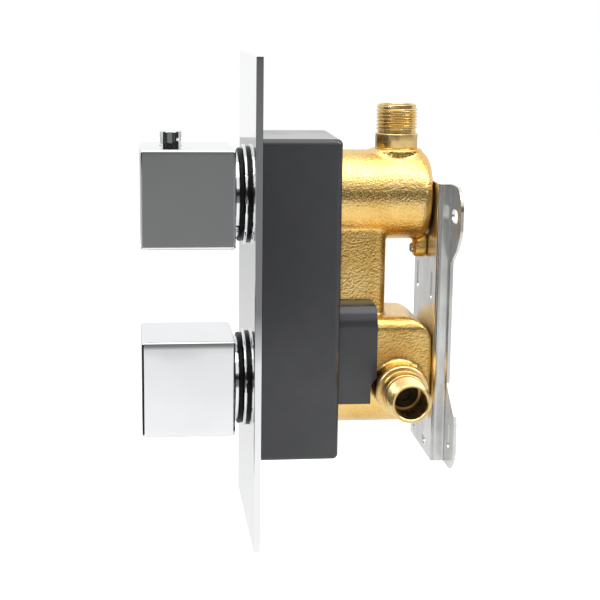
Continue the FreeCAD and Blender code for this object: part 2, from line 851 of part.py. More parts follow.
def grub_screw(z):
    tip = z - adapter_radius
    out = handle_front - grub_back
    screw = rod_z(grub_radius, tip - grub_length, tip, 0, out)
    corners = []
    for k in range(6):
        angle = math.pi * k / 3
        x = grub_socket * math.cos(angle)
        corners.append(FreeCAD.Vector(x, grub_socket * math.sin(angle) - out, tip - grub_length))
    return screw.cut(extrusion(corners, FreeCAD.Vector(0, 0, grub_length / 2)))


def splined(radius, start, end, z):
    """Spline bar whose tooth tips lie at radius."""
    points = []
    for tooth in range(2 * spline_teeth):
        angle = math.pi * tooth / spline_teeth
        reach = radius if tooth % 2 == 0 else radius - spline_depth
        points.append((reach * math.cos(angle), z + reach * math.sin(angle)))
    return front_outline(points, start, end)


def adapter(z):
    body = rod(adapter_radius, hub_start, adapter_end, 0, z)
    return body.cut(splined(spline_radius + seat_gap, hub_start - past, adapter_end - spline_end_gap / 2, z))


def safety_button():
    top = upper_z + handle_size / 2 + button_rise
    skirt = upper_z + handle_size / 2 - button_skirt
    cap = rod_z(button_radius, skirt, top, 0, button_out)
    crown = [edge for edge in cap.Edges if near(edge.CenterOfMass.z, top)]
    cap = cap.makeFillet(button_roof / 4, crown)
    cap = cap.cut(rod_z(button_radius - button_wall, skirt - past, top - button_roof, 0, button_out))
    foot = upper_z + cavity_radius - 2 * clip_thickness
    stem = rod_z(button_stem_radius, foot, top - button_roof / 2, 0, button_out)
    return cap.fuse(stem)


def button_spring():
    bottom = upper_z + handle_size / 2 - pocket_depth
    top = upper_z + handle_size / 2 + button_rise - button_roof
    radius = (button_stem_radius + button_radius - button_wall) / 2
    return coil(radius, spring_wire, FreeCAD.Vector(0, -button_out, bottom), top - bottom, button_turns)


def button_clip():
    top = upper_z + cavity_radius - clip_thickness / 2
    disc = rod_z(clip_radius, top - clip_thickness, top, 0, button_out)
    return disc.cut(rod_z(button_stem_radius, top - clip_thickness - past, top + past, 0, button_out))


def stop_sleeve():
    """Fixed tube on the cartridge's neck that backs the safety button's stem."""
    outer = housing_neck_radius + stop_wall
    return tube(outer, housing_neck_radius, nut_front + seat_gap, button_out + stop_front, upper_z)


# Cartridges

def ring_stations():
    return [hot_out - ring_offset, (cold_out + hot_out) / 2, cold_out + ring_offset]


def housing_outside():
    """Outline shared by both cartridge housings, from the rear end to the neck."""
    seat = bore_radius - cartridge_gap
    groove = bore_radius - 2 * ring_section - ring_groove_gap
    points = [(0, bore_floor + cartridge_gap), (seat, bore_floor + cartridge_gap)]
    for station in ring_stations():
        low = station - ring_section - ring_groove_gap
        high = station + ring_section + ring_groove_gap
        points += [(seat, low), (groove, low), (groove, high), (seat, high)]
    flange = flange_bore_radius - cartridge_gap
    points += [(seat, housing_seat), (flange, housing_seat), (flange, nut_back), (housing_neck_radius, nut_back),
               (housing_neck_radius, neck_front), (0, neck_front)]
    return points


def housing(z, chamber_end):
    shell = turned(housing_outside(), z)
    shell = shell.cut(rod(bearing_radius + seat_gap, neck_front - bearing_length, neck_front + past, 0, z))
    low, high = spindle_seal_span()
    shell = shell.cut(rod(bearing_radius + spindle_seal_depth, low, high, 0, z))
    return shell.cut(rod(chamber_radius, bore_floor, chamber_end, 0, z))


def spindle_seal_span():
    middle = neck_front - bearing_length / 3
    return middle - spindle_seal_width / 2, middle + spindle_seal_width / 2


def radial_holes(count, radius, out, z):
    reach = bore_radius + past
    holes = []
    for k in range(count):
        angle = 2 * math.pi * (k + 0.5) / count
        direction = FreeCAD.Vector(math.cos(angle), 0, math.sin(angle))
        holes.append(Part.makeCylinder(radius, reach, FreeCAD.Vector(0, -out, z), direction))
    return holes


def cartridge_nut(z):
    grip = flange_bore_radius - seat_gap
    hole = housing_neck_radius + seat_gap
    profile = [(hole, nut_back), (grip, nut_back), (grip, barrel_front), (nut_collar_radius, barrel_front),
               (nut_collar_radius, nut_front), (hole, nut_front)]
    nut = turned(profile, z)
    notches = []
    pitch_radius = (hole + nut_collar_radius) / 2
    for k in range(nut_sockets):
        angle = 2 * math.pi * (k + 0.5) / nut_sockets
        x = pitch_radius * math.cos(angle)
        height = z + pitch_radius * math.sin(angle)
        notches.append(rod(nut_socket_radius, nut_front - nut_socket_depth, nut_front + past, x, height))
    return nut.cut(Part.makeCompound(notches))


def cartridge_rings(z):
    radius = bore_radius - ring_section
    return [ring(radius, ring_section, station, z) for station in ring_stations()]


def spindle_rings():
    low, high = spindle_seal_span()
    outer = bearing_radius + spindle_seal_depth
    return [tube(outer, bearing_radius + seat_gap, low, high, z) for z in (upper_z, lower_z)]


def spindle_front(z):
    """Bearing and spline of a spindle, with its circlip groove."""
    shoulder = hub_start - spline_shoulder
    bearing = rod(bearing_radius, neck_front - bearing_length, shoulder, 0, z)
    low, high = clip_span()
    groove = tube(bearing_radius + past, bearing_radius - clip_groove, low, high, z)
    return bearing.cut(groove).fuse(splined(spline_radius, shoulder - past, spline_end, z))


def clip_span():
    low = neck_front + running / 2
    return low, low + clip_thickness


def spindle_clip(z):
    low, high = clip_span()
    clip = tube(bearing_radius + clip_reach, bearing_radius - clip_groove, low, high, z)
    return clip.cut(block(-clip_opening / 2, clip_opening / 2, low, high, z - 2 * bearing_radius, z))


def hex_bar(across_flats, start, end, z):
    reach = across_flats / math.sqrt(3)
    points = [(reach * math.cos(math.pi * k / 3), z + reach * math.sin(math.pi * k / 3)) for k in range(6)]
    return front_outline(points, start, end)


bearing_back = neck_front - bearing_length
guide_back = bearing_back - guide_length
collar_back = bearing_back - collar_thickness
nut_low = collar_back - nut_room - regulating_nut_length
spool_out = (cold_out + hot_out) / 2
wax_front = nut_low - piston_show
wax_flange_front = wax_front - wax_flange_setback
fixed_disc_back = bore_floor + disc_seal_thickness
moving_disc_back = fixed_disc_back + disc_thickness
driver_back = moving_disc_back + disc_thickness


def thermostat_housing():
    shell = housing(upper_z, guide_back)
    shell = shell.cut(hex_bar(nut_flats + 2 * running, guide_back - past, bearing_back, upper_z))
    floor = bore_floor + cartridge_gap
    shell = shell.fuse(tube(chamber_radius, outlet_lip_radius, floor, floor + outlet_lip, upper_z))
    recesses = []
    for station in (cold_out, hot_out):
        low = station - strainer_half_width
        high = station + strainer_half_width
        recesses.append(tube(bore_radius + past, strainer_radius - strainer_wall, low, high, upper_z))
        recesses += radial_holes(inlet_holes, inlet_hole_radius, station, upper_z)
    return shell.cut(Part.makeCompound(recesses))


def thermostat_strainers():
    strainers = []
    for station in (hot_out, cold_out):
        low = station - strainer_half_width + seat_gap
        high = station + strainer_half_width - seat_gap
        band = tube(strainer_radius, strainer_radius - strainer_wall, low, high, upper_z)
        holes = radial_holes(strainer_holes, strainer_hole_radius, station, upper_z)
        strainers.append(band.cut(Part.makeCompound(holes)))
    return strainers


def thermostat_spindle():
    screw = rod(spindle_thread_radius, nut_low, bearing_back + past, 0, upper_z)
    collar = rod(bearing_radius + collar_reach, collar_back, bearing_back - seat_gap, 0, upper_z)
    neck = rod(bearing_radius, collar_back, bearing_back + past, 0, upper_z)
    return spindle_front(upper_z).multiFuse([screw, collar, neck])


def regulating_nut():
    high = nut_low + regulating_nut_length
    nut = hex_bar(nut_flats, nut_low, high, upper_z)
    return nut.cut(rod(spindle_thread_radius + seat_gap, nut_low - past, high + past, 0, upper_z))


def spring_along_out(radius, wire, back, front, turns):
    spring = coil(radius, wire, FreeCAD.Vector(0, 0, 0), front - back, turns)
    spring = turned_to(spring, FreeCAD.Vector(0, -1, 0))
    spring.translate(FreeCAD.Vector(0, -back, upper_z))
    return spring


def overtravel_spring():
    radius = wax_flange_radius - overtravel_wire
    return spring_along_out(radius, overtravel_wire, wax_flange_front, nut_low, overtravel_turns)


def wax_element():
    bulb = rod(wax_radius, spool_out - wax_tail, wax_front, 0, upper_z)
    flange_back = wax_flange_front - wax_flange_thickness
    flange = rod(wax_flange_radius, flange_back, wax_flange_front, 0, upper_z)
    piston = rod(piston_radius, wax_front - past, nut_low - piston_gap, 0, upper_z)
    return bulb.multiFuse([flange, piston])


def thermostat_spool():
    low = spool_out - spool_length / 2
    high = spool_out + spool_length / 2
    outer = chamber_radius - running
    wall = tube(outer, outer - spool_wall, low, high, upper_z)
    web_low = spool_out - spool_web / 2
    web = tube(outer - spool_wall / 2, wax_radius, web_low, web_low + spool_web, upper_z)
    holes = []
    pitch_radius = wax_radius + 2 * spool_hole_radius
    for k in range(spool_holes):
        angle = 2 * math.pi * k / spool_holes
        x = pitch_radius * math.cos(angle)
        height = upper_z + pitch_radius * math.sin(angle)
        holes.append(rod(spool_hole_radius, low - past, high + past, x, height))
    return wall.fuse(web.cut(Part.makeCompound(holes)))


def return_spring():
    back = bore_floor + cartridge_gap + outlet_lip
    return spring_along_out(return_spring_radius, return_wire, back, spool_out - spool_web / 2, return_turns)


def flow_housing():
    front = driver_back + driver_thickness + running
    shell = housing(lower_z, front)
    shell = shell.cut(rod(bearing_radius + seat_gap, front - past, neck_front, 0, lower_z))
    windows = []
    for side, out in ((1, cold_out), (-1, hot_out)):
        x_low, x_high = sorted((side * window_wall, side * bore_radius))
        low = out - passage_radius
        high = out + passage_radius
        windows.append(block(x_low, x_high, low, high, lower_z, lower_z + bore_radius))
    return shell.cut(Part.makeCompound(windows))


def ported_disc(radius, start, end):
    disc = rod(radius, start, end, 0, lower_z)
    ports = [rod(port_radius, start - past, end + past, side * port_x, lower_z) for side in (-1, 1)]
    return disc.cut(Part.makeCompound(ports))


def disc_seal():
    return ported_disc(chamber_radius - seat_gap, bore_floor, fixed_disc_back)


def fixed_disc():
    return ported_disc(chamber_radius - seat_gap, fixed_disc_back, moving_disc_back)


def moving_disc():
    """Ceramic disc whose two ports stand across the fixed ones when the valve is shut."""
    disc = rod(chamber_radius - running, moving_disc_back, driver_back, 0, lower_z)
    ports = []
    for side in (-1, 1):
        ports.append(rod(port_radius, moving_disc_back - past, driver_back + past, 0, lower_z + side * port_x))
    return disc.cut(Part.makeCompound(ports + [disc_tongue(disc_key / 2)]))


def disc_tongue(half):
    """Square key between the driver and the moving disc."""
    back = driver_back - disc_thickness / 2
    return block(-half, half, back, driver_back + past, lower_z - half, lower_z + half)


def flow_spindle():
    """Spindle whose driver carries the water from each port of the moving disc out to its side."""
    front = driver_back + driver_thickness
    driver = rod(chamber_radius - running, driver_back, front, 0, lower_z)
    inner = port_x - port_radius
    pocket_front = front - driver_wall
    for low, high in ((lower_z + inner, lower_z + bore_radius), (lower_z - bore_radius, lower_z - inner)):
        driver = driver.cut(block(-port_radius, port_radius, driver_back - past, pocket_front, low, high))
    shaft = rod(bearing_radius, front - driver_wall, bearing_back + past, 0, lower_z)
    return spindle_front(lower_z).multiFuse([driver, disc_tongue(disc_key / 2 - seat_gap), shaft])


# Check valves in the inlets, modelled along +Z from the nipple's tail end, +Z towards the mouth

check_low = -nipple_tail_length + tail_lip
check_high = check_low + check_bore_length - check_end_gap
check_middle = (check_low + check_high) / 2


def placed_in_inlet(shape, side):
    placed = turned_to(shape, FreeCAD.Vector(side, 0, 0))
    placed.translate(FreeCAD.Vector(side * inlet_seat_x, -port_out, lower_z))
    return placed


def upright(radius, low, high):
    return Part.makeCylinder(radius, high - low, FreeCAD.Vector(0, 0, low))


def check_body(side):
    shell = upright(check_radius, check_low, check_high)
    shell = shell.cut(upright(check_inner, check_low + check_guide, check_high - check_seat))
    shell = shell.cut(upright(check_seat_radius, check_high - check_seat - past, check_high + past))
    guide_top = check_low + check_guide + past
    openings = [upright(poppet_stem_radius + running, check_low - past, guide_top)]
    pitch_radius = (poppet_stem_radius + running + check_inner) / 2
    for k in range(guide_holes):
        angle = 2 * math.pi * k / guide_holes
        hole = upright(guide_hole_radius, check_low - past, guide_top)
        hole.translate(FreeCAD.Vector(pitch_radius * math.cos(angle), pitch_radius * math.sin(angle), 0))
        openings.append(hole)
    openings.append(check_groove(check_radius + past))
    return placed_in_inlet(shell.cut(Part.makeCompound(openings)), side)


def check_groove(outer):
    """Band that holds the rubber ring of a check valve, out to a given radius."""
    low = check_middle - check_ring_width / 2
    high = check_middle + check_ring_width / 2
    floor = check_radius - check_groove_depth
    return upright(outer, low, high).cut(upright(floor, low - past, high + past))


def check_bodies():
    return [check_body(side) for side in (-1, 1)]


def check_rings():
    return [placed_in_inlet(check_groove(check_bore), side) for side in (-1, 1)]


def poppet(side):
    face = check_high - check_seat
    disc = upright(poppet_radius, face - poppet_thickness, face)
    rim = [edge for edge in disc.Edges if near(edge.CenterOfMass.z, face)]
    disc = disc.makeChamfer(poppet_thickness / 2, rim)
    nose = upright(check_seat_radius - running, face - poppet_thickness / 2, face + check_seat / 2)
    stem = upright(poppet_stem_radius, check_low + check_guide / 2, face - poppet_thickness / 2)
    stop = upright(poppet_stop_radius, check_low + check_guide + poppet_travel, face - poppet_thickness / 2)
    return placed_in_inlet(disc.multiFuse([nose, stem, stop]), side)


def check_spring(side):
    low = check_low + check_guide
    high = check_high - check_seat - poppet_thickness
    spring = coil(check_spring_radius, check_wire, FreeCAD.Vector(0, 0, low), high - low, check_turns)
    return placed_in_inlet(spring, side)


def pieces():
    """Every node of the valve, by name; a list is a group of separate solids."""
    return {
        "wall_bracket": wall_bracket(),
        "bracket_screws": bracket_screws(),
        "bracket_washers": bracket_washers(),
        "valve_body": valve_body(),
        "outlet_nipple": outlet_nipple(),
        "cold_nipple": inlet_nipple(1),
        "hot_nipple": inlet_nipple(-1),
        "check_bodies": check_bodies(),
        "check_rings": check_rings(),
        "cold_poppet": poppet(1),
        "hot_poppet": poppet(-1),
        "cold_check_spring": check_spring(1),
        "hot_check_spring": check_spring(-1),
        "guard_box": guard_box(),
        "guard_screws": guard_screws(),
        "plate_gasket": plate_gasket(),
        "face_plate": face_plate(),
        "temperature_sleeve": sleeve(upper_z),
        "flow_sleeve": sleeve(lower_z),
        "sleeve_rings": sleeve_rings(),
        "sleeve_seals": sleeve_seals(),
        "temperature_handle": temperature_handle(),
        "temperature_screw": grub_screw(upper_z),
        "temperature_adapter": adapter(upper_z),
        "safety_button": safety_button(),
        "button_spring": button_spring(),
        "button_clip": button_clip(),
        "stop_sleeve": stop_sleeve(),
        "thermostat_housing": thermostat_housing(),
        "thermostat_nut": cartridge_nut(upper_z),
        "thermostat_rings": cartridge_rings(upper_z),
        "thermostat_strainers": thermostat_strainers(),
        "thermostat_spindle": thermostat_spindle(),
        "temperature_clip": spindle_clip(upper_z),
        "regulating_nut": regulating_nut(),
        "overtravel_spring": overtravel_spring(),
        "wax_element": wax_element(),
        "thermostat_spool": thermostat_spool(),
        "return_spring": return_spring(),
        "spindle_rings": spindle_rings(),
        "flow_handle": flow_handle(),
        "flow_screw": grub_screw(lower_z),
        "flow_adapter": adapter(lower_z),
        "flow_housing": flow_housing(),
        "flow_nut": cartridge_nut(lower_z),
        "flow_rings": cartridge_rings(lower_z),
        "flow_spindle": flow_spindle(),
        "flow_clip": spindle_clip(lower_z),
        "moving_disc": moving_disc(),
        "fixed_disc": fixed_disc(),
        "disc_seal": disc_seal(),
    }


os.makedirs("parts", exist_ok=True)
for name, shape in pieces().items():
    solids = shape if isinstance(shape, list) else shape.Solids
    if len(solids) == 1:
        result = solids[0]
    else:
        result = Part.makeCompound([part.Solids[0] for part in solids])
    result.exportStep("parts/" + name + ".step")
    box = result.BoundBox
    print(name, len(solids), "solids", round(result.Volume), "mm3", result.isValid(),
          [round(v, 1) for v in (box.XMin, box.XMax, box.YMin, box.YMax, box.ZMin, box.ZMax)])
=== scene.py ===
# Looks of the concealed thermostatic shower valve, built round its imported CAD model
import json
import math

import bpy
from mathutils import Matrix, Vector

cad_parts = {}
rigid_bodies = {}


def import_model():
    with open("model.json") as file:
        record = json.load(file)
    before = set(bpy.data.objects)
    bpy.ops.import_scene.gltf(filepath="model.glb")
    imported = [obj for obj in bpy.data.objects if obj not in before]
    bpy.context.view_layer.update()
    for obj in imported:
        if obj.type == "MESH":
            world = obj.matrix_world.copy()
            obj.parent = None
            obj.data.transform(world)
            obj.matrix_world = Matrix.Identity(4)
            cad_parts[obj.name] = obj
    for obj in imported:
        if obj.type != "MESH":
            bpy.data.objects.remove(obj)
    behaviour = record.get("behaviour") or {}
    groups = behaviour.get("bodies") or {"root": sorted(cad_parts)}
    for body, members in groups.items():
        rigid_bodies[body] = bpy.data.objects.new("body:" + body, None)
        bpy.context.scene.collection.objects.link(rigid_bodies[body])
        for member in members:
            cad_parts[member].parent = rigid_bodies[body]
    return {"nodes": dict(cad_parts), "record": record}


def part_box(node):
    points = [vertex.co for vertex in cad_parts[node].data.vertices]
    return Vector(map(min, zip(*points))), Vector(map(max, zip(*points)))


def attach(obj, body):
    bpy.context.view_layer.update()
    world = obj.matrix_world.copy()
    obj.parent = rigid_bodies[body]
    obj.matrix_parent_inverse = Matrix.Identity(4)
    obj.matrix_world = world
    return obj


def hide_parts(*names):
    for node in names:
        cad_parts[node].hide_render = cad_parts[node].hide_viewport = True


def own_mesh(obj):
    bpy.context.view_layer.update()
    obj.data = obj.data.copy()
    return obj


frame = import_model()
bpy.context.scene.view_settings.view_transform = "Standard"
nodes = frame["nodes"]
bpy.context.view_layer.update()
print("frame loaded:", len(nodes), "nodes")

millimetre = 0.001
edgeAngle = 28  # degrees, past which an edge stays sharp
turnedMerge = 0.000002  # metres, within which a turned piece's points are merged
copyMerge = 0.000001


# helpers for modelling

def deselectAll():
    for obj in list(bpy.context.selected_objects):
        obj.select_set(False)


def activate(obj):
    deselectAll()
    obj.select_set(True)
    bpy.context.view_layer.objects.active = obj


def startEditing():
    bpy.ops.object.mode_set(mode="EDIT")
    bpy.ops.mesh.select_all(action="SELECT")


def stopEditing():
    bpy.ops.object.mode_set(mode="OBJECT")


def bakePlace():
    bpy.ops.object.transform_apply(location=True, rotation=True, scale=True)


def applyModifier(obj, kind, **values):
    activate(obj)
    modifier = obj.modifiers.new(kind.title(), kind)
    for key, value in values.items():
        setattr(modifier, key, value)
    bpy.ops.object.modifier_apply(modifier=modifier.name)


def startRing(name, radius, height, segments):
    # a bare ring in edit mode, from which a turned piece is extruded
    deselectAll()
    bpy.ops.mesh.primitive_circle_add(vertices=segments, radius=radius, location=(0, 0, height))
    ring = bpy.context.object
    ring.name = name
    bakePlace()
    startEditing()
    return ring


def turnPiece(name, profile, segments=96):
    # closed ring of (radius, height) points in millimetres, extruded and scaled from one to the next
    radius, height = profile[0]
    piece = startRing(name, radius * millimetre, height * millimetre, segments)
    for nextRadius, nextHeight in profile[1:] + [profile[0]]:
        rise = (nextHeight - height) * millimetre
        bpy.ops.mesh.extrude_edges_move(TRANSFORM_OT_translate={"value": (0, 0, rise)})
        factor = nextRadius / radius
        bpy.ops.transform.resize(value=(factor, factor, 1), center_override=(0, 0, nextHeight * millimetre))
        radius, height = nextRadius, nextHeight
    bpy.ops.mesh.select_all(action="SELECT")
    bpy.ops.mesh.remove_doubles(threshold=turnedMerge)
    bpy.ops.mesh.normals_make_consistent(inside=False)
    stopEditing()
    return piece


def smoothByAngle(piece, degrees):
    activate(piece)
    bpy.ops.object.shade_smooth_by_angle(angle=math.radians(degrees))


def place(piece, along, at):
    # turns a piece made along +Z to point along another direction, moves it there and bakes its place
    piece.rotation_mode = "QUATERNION"
    piece.rotation_quaternion = Vector((0, 0, 1)).rotation_difference(Vector(along))
    piece.location = Vector(at)
    activate(piece)
    bakePlace()


def joinPieces(pieces, name):
    deselectAll()
    for piece in pieces:
        piece.select_set(True)
    bpy.context.view_layer.objects.active = pieces[0]
    bpy.ops.object.join()
    pieces[0].name = name
    return pieces[0]


def giveMaterial(piece, material):
    piece.data.materials.clear()
    piece.data.materials.append(material)


def copyOfNode(nodeName, name):
    # a copy of a CAD node, its loose triangles merged
    piece = nodes[nodeName].copy()
    piece.data = nodes[nodeName].data.copy()
    piece.name = name
    for key in list(piece.keys()):
        del piece[key]
    piece.parent = None
    bpy.context.scene.collection.objects.link(piece)
    activate(piece)
    startEditing()
    bpy.ops.mesh.remove_doubles(threshold=copyMerge)
    stopEditing()
    return piece


# helpers for shader nodes

def newGroup(name, scales, outputs):
    # a group that reads a vector and some scales, and puts out values
    group = bpy.data.node_groups.new(name, "ShaderNodeTree")
    group.interface.new_socket("Vector", in_out="INPUT", socket_type="NodeSocketVector")
    for label, value in scales.items():
        socket = group.interface.new_socket(label, in_out="INPUT", socket_type="NodeSocketFloat")
        socket.default_value = value
    for label in outputs:
        group.interface.new_socket(label, in_out="OUTPUT", socket_type="NodeSocketFloat")
    source = group.nodes.new("NodeGroupInput")
    target = group.nodes.new("NodeGroupOutput")
    return group, source, target


def noiseNode(tree, vector, scale, detail, roughness):
    noise = tree.nodes.new("ShaderNodeTexNoise")
    noise.inputs["Detail"].default_value = detail
    noise.inputs["Roughness"].default_value = roughness
    tree.links.new(vector, noise.inputs["Vector"])
    if isinstance(scale, (int, float)):
        noise.inputs["Scale"].default_value = scale
    else:
        tree.links.new(scale, noise.inputs["Scale"])
    return noise.outputs["Fac"]


def mathNode(tree, operation, *values):
    node = tree.nodes.new("ShaderNodeMath")
    node.operation = operation
    for slot, value in enumerate(values):
        if isinstance(value, (int, float)):
            node.inputs[slot].default_value = value
        else:
            tree.links.new(value, node.inputs[slot])
    return node.outputs[0]


def weightedSum(tree, first, firstShare, second, secondShare):
    return mathNode(tree, "MULTIPLY_ADD", first, firstShare, mathNode(tree, "MULTIPLY", second, secondShare))


def rangeNode(tree, value, low, high, newLow=0.0, newHigh=1.0):
    node = tree.nodes.new("ShaderNodeMapRange")
    for slot, number in ((1, low), (2, high), (3, newLow), (4, newHigh)):
        node.inputs[slot].default_value = number
    tree.links.new(value, node.inputs[0])
    return node.outputs[0]


castGrainLook = {"lumpScale": 860.0, "grainScale": 1500.0, "pitScale": 480.0, "patchScale": 45.0,
                 "pitEdge": (0.02, 0.22), "lumps": 0.5, "grain": 0.2, "pits": 0.10,
                 "patchTone": 0.6, "lumpTone": 0.4}


def makeCastGrain():
    # sand-cast skin: lumps, grain and small pits
    look = castGrainLook
    scales = {"Lump scale": look["lumpScale"], "Grain scale": look["grainScale"],
              "Pit scale": look["pitScale"]}
    group, source, target = newGroup("castGrain", scales, ("Height", "Tone"))
    vector = source.outputs["Vector"]
    lumps = noiseNode(group, vector, source.outputs["Lump scale"], detail=2.0, roughness=0.55)
    grain = noiseNode(group, vector, source.outputs["Grain scale"], detail=3.0, roughness=0.6)
    patches = noiseNode(group, vector, look["patchScale"], detail=2.0, roughness=0.5)
    pits = group.nodes.new("ShaderNodeTexVoronoi")
    group.links.new(vector, pits.inputs["Vector"])
    group.links.new(source.outputs["Pit scale"], pits.inputs["Scale"])
    hollow = rangeNode(group, pits.outputs["Distance"], *look["pitEdge"])
    height = weightedSum(group, lumps, look["lumps"], grain, look["grain"])
    height = mathNode(group, "MULTIPLY_ADD", hollow, look["pits"], height)
    group.links.new(height, target.inputs["Height"])
    tone = weightedSum(group, patches, look["patchTone"], lumps, look["lumpTone"])
    group.links.new(tone, target.inputs["Tone"])
    return group


drawnLinesLook = {"fineness": 900.0, "coarser": 0.22, "fine": 0.6, "coarse": 0.4}


def makeDrawnLines():
    # fine lines left by turning, drawing or brushing: noise stretched across one direction
    look = drawnLinesLook
    group, source, target = newGroup("drawnLines", {"Fineness": look["fineness"]}, ("Height", "Streaks"))
    vector, fineness = source.outputs["Vector"], source.outputs["Fineness"]
    fine = noiseNode(group, vector, fineness, detail=2.0, roughness=0.6)
    wider = mathNode(group, "MULTIPLY", fineness, look["coarser"])
    coarse = noiseNode(group, vector, wider, detail=2.0, roughness=0.5)
    height = weightedSum(group, fine, look["fine"], coarse, look["coarse"])
    group.links.new(height, target.inputs["Height"])
    group.links.new(coarse, target.inputs["Streaks"])
    return group


handlingLook = {"smearScale": 28.0, "speckScale": 420.0, "smearEdge": (0.38, 0.72), "speckEdge": (0.66, 0.78)}


def makeHandling():
    # faint smears and specks left by handling and packing
    look = handlingLook
    scales = {"Smear scale": look["smearScale"], "Speck scale": look["speckScale"]}
    group, source, target = newGroup("handling", scales, ("Smears", "Specks"))
    vector = source.outputs["Vector"]
    smears = noiseNode(group, vector, source.outputs["Smear scale"], detail=4.0, roughness=0.62)
    specks = noiseNode(group, vector, source.outputs["Speck scale"], detail=1.0, roughness=0.5)
    group.links.new(rangeNode(group, smears, *look["smearEdge"]), target.inputs["Smears"])
    group.links.new(rangeNode(group, specks, *look["speckEdge"]), target.inputs["Specks"])
    return group


castGrain = makeCastGrain()
drawnLines = makeDrawnLines()
handling = makeHandling()
print("shader groups made")


# materials: each look's stops run from dark to light or from clean to smeared

def startMaterial(name, values):
    material = bpy.data.materials.new(name)
    material.use_nodes = True
    tree = material.node_tree
    shader = tree.nodes["Principled BSDF"]
    for label, value in values.items():
        shader.inputs[label].default_value = value
    return material, tree, shader


def objectVector(tree, stretch=(1, 1, 1)):
    coordinates = tree.nodes.new("ShaderNodeTexCoord")
    mapping = tree.nodes.new("ShaderNodeMapping")
    mapping.inputs["Scale"].default_value = stretch
    tree.links.new(coordinates.outputs["Object"], mapping.inputs["Vector"])
    return mapping.outputs["Vector"]


def addGroup(tree, group, vector, **values):
    node = tree.nodes.new("ShaderNodeGroup")
    node.node_tree = group
    tree.links.new(vector, node.inputs["Vector"])
    for label, value in values.items():
        node.inputs[label.replace("_", " ")].default_value = value
    return node


def colourRamp(tree, value, stops):
    ramp = tree.nodes.new("ShaderNodeValToRGB")
    while len(ramp.color_ramp.elements) < len(stops):
        ramp.color_ramp.elements.new(0.5)
    for element, (position, colour) in zip(ramp.color_ramp.elements, stops):
        element.position = position
        element.color = (*colour, 1)
    tree.links.new(value, ramp.inputs["Fac"])
    return ramp.outputs["Color"]


def addFinish(tree, shader, look, tone, wear):
    # the colour follows the tone, the roughness the wear
    tree.links.new(colourRamp(tree, tone, look["stops"]), shader.inputs["Base Color"])
    roughness = rangeNode(tree, wear, *look["wearRange"], *look["roughness"])
    tree.links.new(roughness, shader.inputs["Roughness"])


def addBump(tree, shader, look, height):
    bump = tree.nodes.new("ShaderNodeBump")
    bump.inputs["Strength"].default_value = look["bumpStrength"]
    bump.inputs["Distance"].default_value = look["bumpDepth"]
    tree.links.new(height, bump.inputs["Height"])
    tree.links.new(bump.outputs["Normal"], shader.inputs["Normal"])


castBrassLook = {"stops": [(0.34, (0.70, 0.42, 0.11)), (0.5, (0.86, 0.56, 0.18)),
                           (0.66, (0.93, 0.68, 0.29))],
                 "wearRange": (0.35, 0.65), "roughness": (0.26, 0.18),
                 "bumpDepth": 0.00050, "bumpStrength": 1.0}


def makeCastBrass():
    look = castBrassLook
    material, tree, shader = startMaterial("castBrass", {"Metallic": 1.0})
    grain = addGroup(tree, castGrain, objectVector(tree))
    addFinish(tree, shader, look, grain.outputs["Tone"], grain.outputs["Tone"])
    addBump(tree, shader, look, grain.outputs["Height"])
    return material


turnedBrassLook = {"stops": [(0.3, (0.76, 0.52, 0.20)), (0.7, (0.92, 0.72, 0.36))],
                   "wearRange": (0.0, 1.0), "roughness": (0.24, 0.34),
                   "bumpDepth": 0.00004, "bumpStrength": 0.6}


def makeTurnedBrass(name, stretch):
    look = turnedBrassLook
    material, tree, shader = startMaterial(name, {"Metallic": 1.0})
    lines = addGroup(tree, drawnLines, objectVector(tree, stretch))
    marks = addGroup(tree, handling, objectVector(tree))
    addFinish(tree, shader, look, lines.outputs["Streaks"], marks.outputs["Smears"])
    addBump(tree, shader, look, lines.outputs["Height"])
    return material


chromeLook = {"smearScale": 18.0, "stops": [(0.0, (0.83, 0.84, 0.85)), (1.0, (0.79, 0.80, 0.81))],
              "wearRange": (0.0, 1.0), "roughness": (0.035, 0.075)}


def makeChrome(name):
    look = chromeLook
    material, tree, shader = startMaterial(name, {"Metallic": 1.0})
    vector = objectVector(tree)
    marks = addGroup(tree, handling, vector, Smear_scale=look["smearScale"])
    addFinish(tree, shader, look, marks.outputs["Smears"], marks.outputs["Smears"])
    return material, tree, shader, vector


gripLook = {"rollStart": 0.84, "rollPower": 2.0, "rollDepth": 0.000225,
            "waveScale": 22.0, "waveDepth": 0.0006, "bumpDepth": 1.0, "bumpStrength": 0.5}


def makeGripChrome(name, node):
    # polishing rounds a cube's faces off: the height falls from rollStart of the way out to the edges
    look = gripLook
    material, tree, shader, vector = makeChrome(name)
    low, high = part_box(node)
    split = tree.nodes.new("ShaderNodeSeparateXYZ")
    tree.links.new(vector, split.inputs[0])
    height = 0.0
    for axis, label in enumerate("XYZ"):
        middle = (low[axis] + high[axis]) / 2
        half = (high[axis] - low[axis]) / 2
        away = mathNode(tree, "ABSOLUTE", mathNode(tree, "SUBTRACT", split.outputs[label], middle))
        past = rangeNode(tree, away, look["rollStart"] * half, half)
        roll = mathNode(tree, "POWER", past, look["rollPower"])
        height = mathNode(tree, "ADD", mathNode(tree, "MULTIPLY", roll, -look["rollDepth"]), height)
    wave = noiseNode(tree, vector, look["waveScale"], detail=1.0, roughness=0.4)
    addBump(tree, shader, look, mathNode(tree, "MULTIPLY_ADD", wave, look["waveDepth"], height))
    return material


zincLook = {"fineness": 420.0, "smearScale": 40.0, "streaks": 0.55, "smears": 0.3,
            "stops": [(0.2, (0.60, 0.60, 0.59)), (0.62, (0.87, 0.87, 0.85))],
            "wearRange": (0.2, 0.7), "roughness": (0.28, 0.17), "bumpDepth": 0.00003, "bumpStrength": 0.35}


